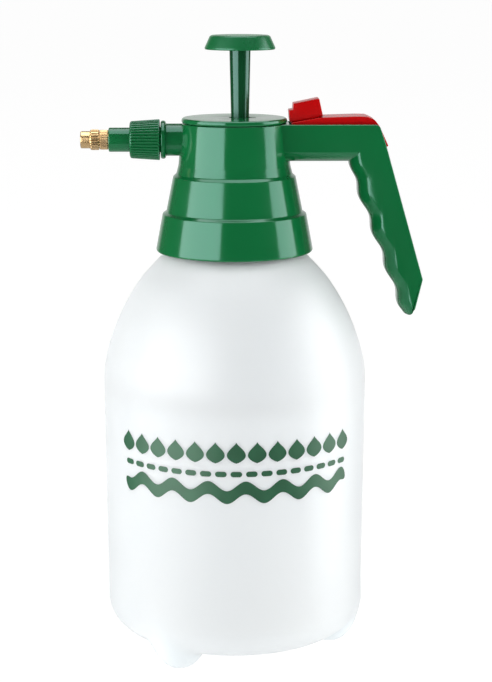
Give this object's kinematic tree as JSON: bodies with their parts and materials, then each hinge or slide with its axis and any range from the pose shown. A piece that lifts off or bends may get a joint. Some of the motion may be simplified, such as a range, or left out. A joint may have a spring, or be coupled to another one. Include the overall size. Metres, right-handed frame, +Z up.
{
  "type": "pump sprayer",
  "caption": "Hand-held compression sprayer: domed translucent bottle, stepped green head with pistol grip, pump knob, thumb lever and adjustable brass nozzle.",
  "frame": {"origin": "bottom centre of the bounding box, on the ground under the three feet; the bottle's axis stands at x = -8.45 mm", "axes": "+Z up along the bottle's axis, -X towards the nozzle, +X towards the grip"},
  "size_m": [0.1636, 0.128, 0.2997],
  "materials": {
    "bottle_plastic": "natural translucent blow-moulded polyethylene, satin",
    "green_plastic": "glossy green injection-moulded polypropylene",
    "red_plastic": "satin-gloss red moulded plastic",
    "brass": "turned and knurled brass",
    "rubber": "black nitrile rubber",
    "white_plastic": "natural acetal and polypropylene mouldings",
    "clear_tube": "translucent polyethylene tube",
    "steel": "stainless steel wire and pin"
  },
  "bodies": {
    "bottle": {"bottle": "bottle_plastic"},
    "seal": {"bottle_seal": "rubber"},
    "head": {"head_shell": "green_plastic", "pump_cap": "green_plastic", "pump_barrel": "white_plastic", "barrel_oring": "rubber", "rod_guide": "white_plastic", "check_valve": "rubber", "dip_tube": "clear_tube", "dip_strainer": "white_plastic", "inlet_hose": "clear_tube", "outlet_hose": "clear_tube", "trigger_pin": "steel", "valve_body": "white_plastic", "valve_gland": "white_plastic", "valve_oring": "rubber", "valve_spring": "steel", "nozzle_sleeve": "green_plastic", "nozzle_washer": "rubber", "brass_collar": "brass", "swirl_core": "brass"},
    "piston": {"piston": "white_plastic", "piston_ring": "rubber"},
    "pump_handle": {"pump_handle": "green_plastic"},
    "trigger": {"trigger_lever": "red_plastic"},
    "lock": {"lock_slider": "red_plastic"},
    "valve_stem": {"valve_stem": "white_plastic", "stem_seal": "rubber"},
    "nozzle_nut": {"nozzle_nut": "green_plastic"},
    "nozzle_tip": {"brass_tip": "brass", "tip_oring": "rubber"}
  },
  "joints": [
    {"name": "head_lift", "type": "slide", "parent": "bottle", "child": "seal", "axis": [0, 0, 1], "range_m": [0, 0.215]},
    {"name": "head_turn", "type": "hinge", "parent": "seal", "child": "head", "pos_m": [-0.00845, 0, 0.221], "axis": [0, 0, 1], "range_deg": [0, 540]},
    {"name": "pump_stroke", "type": "slide", "parent": "head", "child": "piston", "axis": [0, 0, 1], "range_m": [-0.03, 0.018]},
    {"name": "knob_turn", "type": "hinge", "parent": "piston", "child": "pump_handle", "pos_m": [-0.00575, 0, 0.215], "axis": [0, 0, 1], "continuous": true},
    {"name": "trigger_press", "type": "hinge", "parent": "head", "child": "trigger", "pos_m": [0.02205, 0, 0.2562], "axis": [0, 1, 0], "range_deg": [0, 7.5], "stiffness_Nm_per_rad": 1, "springref_deg": -8.59},
    {"name": "lock_slide", "type": "slide", "parent": "trigger", "child": "lock", "axis": [0.9846, 0, 0.1746], "range_m": [0, 0.0034]},
    {"name": "stem_travel", "type": "slide", "parent": "head", "child": "valve_stem", "axis": [0, 0, 1], "range_m": [-0.0022, 0], "deforming": ["valve_spring"]},
    {"name": "nut_turn", "type": "hinge", "parent": "head", "child": "nozzle_nut", "pos_m": [-0.05, 0, 0.2504], "axis": [-1, 0, 0], "range_deg": [0, 720]},
    {"name": "tip_turn", "type": "hinge", "parent": "head", "child": "nozzle_tip", "pos_m": [-0.075, 0, 0.2504], "axis": [-1, 0, 0], "range_deg": [0, 540]}
  ],
  "couplings": [
    {"joint": "stem_travel", "follows": "trigger_press", "m_per_rad": -0.0148}
  ]
}
